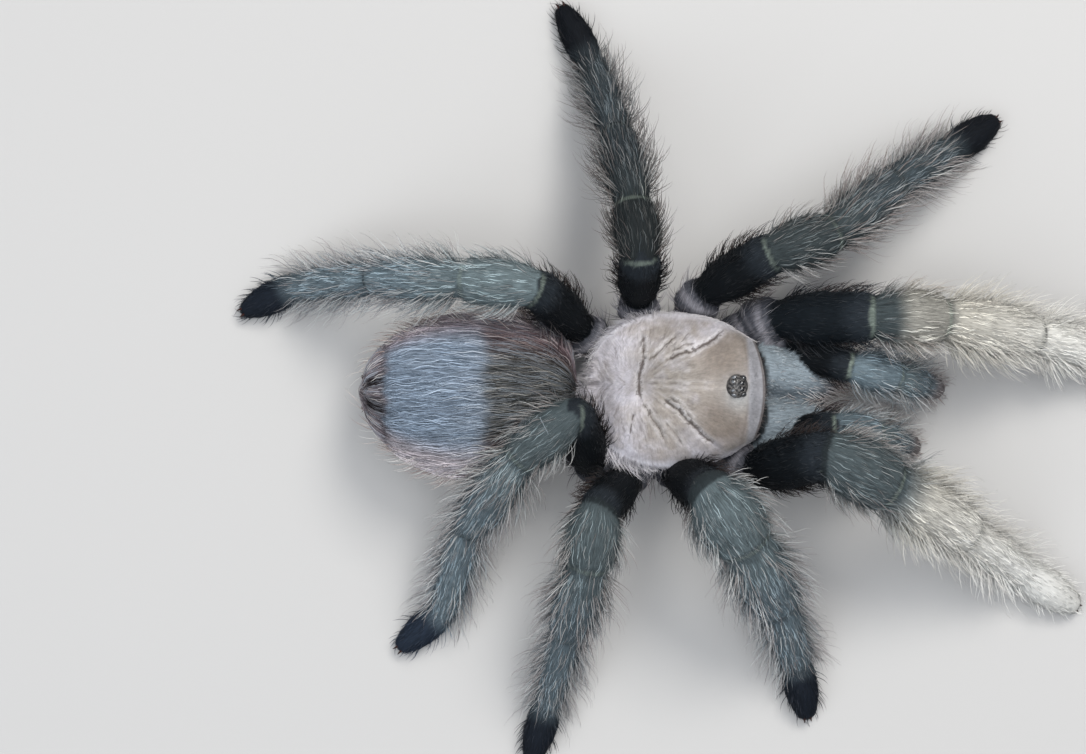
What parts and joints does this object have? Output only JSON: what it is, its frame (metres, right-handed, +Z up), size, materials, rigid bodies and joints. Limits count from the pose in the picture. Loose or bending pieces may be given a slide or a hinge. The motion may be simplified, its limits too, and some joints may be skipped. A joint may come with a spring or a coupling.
{
  "type": "tarantula",
  "caption": "Life-size still model of a blue-grey tarantula with a tan carapace, standing with its hairy legs spread, one pair reaching far ahead.",
  "frame": {"origin": "on the floor, under the middle of the animal's outline with its feet", "axes": "+X ahead of the animal, +Y to its left, +Z up from the floor"},
  "size_m": [0.111, 0.0904, 0.0228],
  "materials": {
    "carapace_shell": "fine short nap, satin",
    "leg_coat": "long silky hair over velvety skin",
    "thigh_coat": "short dark velvet",
    "hip_coat": "short pale silky hair",
    "abdomen_coat": "combed wavy hair",
    "jaw_coat": "short pale velvet",
    "fang_horn": "polished dark horn",
    "eye_lens": "wet gloss",
    "spinneret_skin": "short brown hair"
  },
  "bodies": {
    "root": {"carapace": "carapace_shell", "sternum": "hip_coat", "abdomen": "abdomen_coat", "spinnerets": "spinneret_skin", "eyes": "eye_lens", "chelicera_left": "jaw_coat", "fang_left": "fang_horn", "coxae_left": "hip_coat", "chelicera_right": "jaw_coat", "fang_right": "fang_horn", "coxae_right": "hip_coat", "palp_left_femur": "thigh_coat", "palp_left_patella": "leg_coat", "palp_left_tibia": "leg_coat", "palp_left_tarsus": "leg_coat", "palp_right_femur": "thigh_coat", "palp_right_patella": "leg_coat", "palp_right_tibia": "leg_coat", "palp_right_tarsus": "leg_coat", "leg_left_1_femur": "thigh_coat", "leg_left_1_patella": "leg_coat", "leg_left_1_tibia": "leg_coat", "leg_left_1_metatarsus": "leg_coat", "leg_left_1_tarsus": "leg_coat", "leg_left_2_femur": "thigh_coat", "leg_left_2_patella": "leg_coat", "leg_left_2_tibia": "leg_coat", "leg_left_2_metatarsus": "leg_coat", "leg_left_2_tarsus": "leg_coat", "leg_left_3_femur": "thigh_coat", "leg_left_3_patella": "leg_coat", "leg_left_3_tibia": "leg_coat", "leg_left_3_metatarsus": "leg_coat", "leg_left_3_tarsus": "leg_coat", "leg_left_4_femur": "thigh_coat", "leg_left_4_patella": "leg_coat", "leg_left_4_tibia": "leg_coat", "leg_left_4_metatarsus": "leg_coat", "leg_left_4_tarsus": "leg_coat", "leg_right_1_femur": "thigh_coat", "leg_right_1_patella": "leg_coat", "leg_right_1_tibia": "leg_coat", "leg_right_1_metatarsus": "leg_coat", "leg_right_1_tarsus": "leg_coat", "leg_right_2_femur": "thigh_coat", "leg_right_2_patella": "leg_coat", "leg_right_2_tibia": "leg_coat", "leg_right_2_metatarsus": "leg_coat", "leg_right_2_tarsus": "leg_coat", "leg_right_3_femur": "thigh_coat", "leg_right_3_patella": "leg_coat", "leg_right_3_tibia": "leg_coat", "leg_right_3_metatarsus": "leg_coat", "leg_right_3_tarsus": "leg_coat", "leg_right_4_femur": "thigh_coat", "leg_right_4_patella": "leg_coat", "leg_right_4_tibia": "leg_coat", "leg_right_4_metatarsus": "leg_coat", "leg_right_4_tarsus": "leg_coat"}
  },
  "joints": []
}
